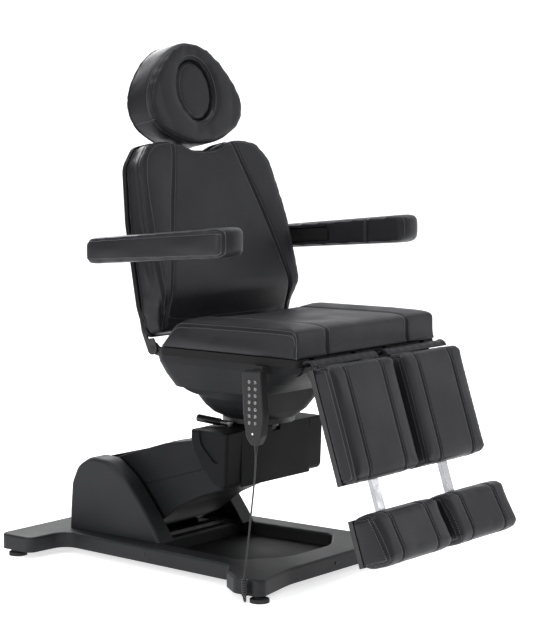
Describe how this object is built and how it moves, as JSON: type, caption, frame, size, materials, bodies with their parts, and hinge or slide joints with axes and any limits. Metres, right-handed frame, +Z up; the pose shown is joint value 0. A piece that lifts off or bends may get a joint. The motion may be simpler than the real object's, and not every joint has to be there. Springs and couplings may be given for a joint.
{
  "type": "facial treatment bed",
  "caption": "Electric facial and podiatry chair-bed with padded seat, reclining back, folding arms, split leg rests, headrest with face hole, swivel top and lifting arm on a floor base.",
  "frame": {"origin": "on the floor under the centre of the overall bounding box", "axes": "+Z up, the chair faces -Y, +X is the sitter's left"},
  "size_m": [0.84, 1.2658, 1.3996],
  "materials": {
    "steel_frame": "semi-matte powder coat",
    "zinc_steel": "zinc plated",
    "cover_plastic": "fine texture",
    "device_plastic": "fine texture",
    "foot_rubber": "matte",
    "cushion_leather": "soft sheen, fine grain",
    "board": "black-stained plywood",
    "chrome_steel": "polished",
    "leg_steel": "semi-matte powder coat",
    "gloss_grip": "glossy",
    "cord_jacket": "satin PVC",
    "key_black": "printed membrane key"
  },
  "bodies": {
    "base": {"base_frame": "steel_frame", "front_base_cover": "cover_plastic", "rear_base_cover": "cover_plastic", "base_tray": "cover_plastic", "levelling_feet": "foot_rubber", "hump_covers": "cover_plastic", "pivot_bracket": "steel_frame", "base_pivot_pins": "zinc_steel", "base_electrics": "device_plastic", "cover_screws": "zinc_steel", "cord_socket": "device_plastic", "cord_plug": "device_plastic"},
    "lift_arm": {"lift_arm": "steel_frame", "lift_covers": "cover_plastic"},
    "lower_link": {"lower_link": "steel_frame"},
    "lift_motor": {"lift_motor": "device_plastic"},
    "lift_rod": {"lift_rod": "zinc_steel"},
    "head": {"head_frame": "steel_frame", "head_pivot_pins": "zinc_steel", "head_caps": "cover_plastic", "head_front_cover": "cover_plastic"},
    "lever": {"lever_collar": "chrome_steel", "lever_grip": "gloss_grip"},
    "turntable": {"swivel_disc": "steel_frame", "turret_bowl": "cover_plastic", "turret": "steel_frame", "turntable_bolts": "zinc_steel"},
    "seat": {"seat_pan": "cover_plastic", "seat_frame": "steel_frame", "seat_hinge_pins": "zinc_steel", "seat_board": "board", "seat_cushion": "cushion_leather", "handset_hook": "device_plastic", "hinge_flap_left": "cushion_leather", "hinge_flap_right": "cushion_leather"},
    "back": {"back_cushion": "cushion_leather", "back_board": "board", "back_frame": "steel_frame"},
    "back_motor": {"back_motor": "device_plastic"},
    "back_rod": {"back_rod": "zinc_steel"},
    "arm_left": {"arm_pad_left": "cushion_leather", "arm_core_left": "board"},
    "arm_right": {"arm_pad_right": "cushion_leather", "arm_core_right": "board"},
    "headrest_stem": {"headrest_stem": "chrome_steel"},
    "headrest": {"headrest_cushion": "cushion_leather", "headrest_bracket": "steel_frame"},
    "face_plug": {"face_plug": "cushion_leather"},
    "leg_left": {"leg_cushion_left": "cushion_leather", "leg_frame_left": "leg_steel"},
    "leg_right": {"leg_cushion_right": "cushion_leather", "leg_frame_right": "leg_steel"},
    "foot_left": {"foot_cushion_left": "cushion_leather", "foot_slide_left": "chrome_steel"},
    "foot_right": {"foot_cushion_right": "cushion_leather", "foot_slide_right": "chrome_steel"},
    "handset": {"handset_shell": "device_plastic", "handset_keypad": "key_black", "handset_cord": "cord_jacket", "cord_coil": "cord_jacket"}
  },
  "joints": [
    {"name": "lift", "type": "hinge", "parent": "base", "child": "lift_arm", "pos_m": [0, 0.435, 0.19], "axis": [-1, 0, 0], "range_deg": [0, 38], "deforming": ["handset_cord", "cord_coil"]},
    {"name": "lower_link_turn", "type": "hinge", "parent": "base", "child": "lower_link", "pos_m": [0, 0.435, 0.14], "axis": [-1, 0, 0], "range_deg": [-0.1, 38.1]},
    {"name": "head_level", "type": "hinge", "parent": "lift_arm", "child": "head", "pos_m": [0, 0.015, 0.305], "axis": [-1, 0, 0], "range_deg": [-38.1, 0.1]},
    {"name": "lift_motor_turn", "type": "hinge", "parent": "lift_arm", "child": "lift_motor", "pos_m": [0, 0.11672, 0.27715], "axis": [-1, 0, 0], "range_deg": [-5.8, 0.1]},
    {"name": "lift_rod_slide", "type": "slide", "parent": "lift_motor", "child": "lift_rod", "axis": [0, 0.8321, -0.5546], "range_m": [-0.0005, 0.0625]},
    {"name": "lever_turn", "type": "hinge", "parent": "head", "child": "lever", "pos_m": [-0.11, 0.018, 0.392], "axis": [0, 0, 1], "range_deg": [0, 30]},
    {"name": "swivel", "type": "hinge", "parent": "head", "child": "turntable", "pos_m": [0, 0.01, 0.4], "axis": [0, 0, 1], "range_deg": [-120, 120]},
    {"name": "seat_tilt", "type": "hinge", "parent": "turntable", "child": "seat", "pos_m": [0, 0.01, 0.53], "axis": [-1, 0, 0], "range_deg": [0, 12]},
    {"name": "back_recline", "type": "hinge", "parent": "seat", "child": "back", "pos_m": [0, 0.152, 0.598], "axis": [-1, 0, 0], "range_deg": [0, 75]},
    {"name": "back_motor_turn", "type": "hinge", "parent": "seat", "child": "back_motor", "pos_m": [0, -0.23, 0.548], "axis": [-1, 0, 0], "range_deg": [-5.2, 0.1]},
    {"name": "back_rod_slide", "type": "slide", "parent": "back_motor", "child": "back_rod", "axis": [0, 0.9999, 0.0166], "range_m": [-0.0375, 0.0005]},
    {"name": "arm_left_turn", "type": "hinge", "parent": "back", "child": "arm_left", "pos_m": [0, 0.185, 0.862], "axis": [-1, 0, 0], "range_deg": [-75, 90]},
    {"name": "arm_right_turn", "type": "hinge", "parent": "back", "child": "arm_right", "pos_m": [0, 0.185, 0.862], "axis": [-1, 0, 0], "range_deg": [-75, 90]},
    {"name": "headrest_height", "type": "slide", "parent": "back", "child": "headrest_stem", "axis": [0, 0.2598, 0.9657], "range_m": [0, 0.1]},
    {"name": "headrest_tilt", "type": "hinge", "parent": "headrest_stem", "child": "headrest", "pos_m": [0, 0.32046, 1.17442], "axis": [-1, 0, 0], "range_deg": [-6, 30]},
    {"name": "face_plug_slide", "type": "slide", "parent": "headrest", "child": "face_plug", "axis": [0, -0.9799, 0.1994], "range_m": [0, 0.12]},
    {"name": "leg_left_raise", "type": "hinge", "parent": "seat", "child": "leg_left", "pos_m": [0, -0.352, 0.588], "axis": [-1, 0, 0], "range_deg": [-15, 70], "deforming": ["hinge_flap_left"]},
    {"name": "leg_right_raise", "type": "hinge", "parent": "seat", "child": "leg_right", "pos_m": [0, -0.352, 0.588], "axis": [-1, 0, 0], "range_deg": [-15, 70], "deforming": ["hinge_flap_right"]},
    {"name": "foot_left_slide", "type": "slide", "parent": "leg_left", "child": "foot_left", "axis": [0, -0.3123, -0.95], "range_m": [-0.06, 0.09]},
    {"name": "foot_right_slide", "type": "slide", "parent": "leg_right", "child": "foot_right", "axis": [0, -0.3123, -0.95], "range_m": [-0.06, 0.09]},
    {"name": "handset_lift", "type": "slide", "parent": "seat", "child": "handset", "axis": [0, 0, 1], "range_m": [0, 0.04]}
  ],
  "couplings": [
    {"joint": "lower_link_turn", "follows": "lift", "ratio": 1},
    {"joint": "head_level", "follows": "lift", "ratio": -1},
    {"joint": "lift_motor_turn", "follows": "lift", "ratio": -0.1497},
    {"joint": "lift_rod_slide", "follows": "lift", "m_per_rad": 0.09225},
    {"joint": "back_motor_turn", "follows": "back_recline", "ratio": -0.06708},
    {"joint": "back_rod_slide", "follows": "back_recline", "m_per_rad": -0.02787}
  ]
}
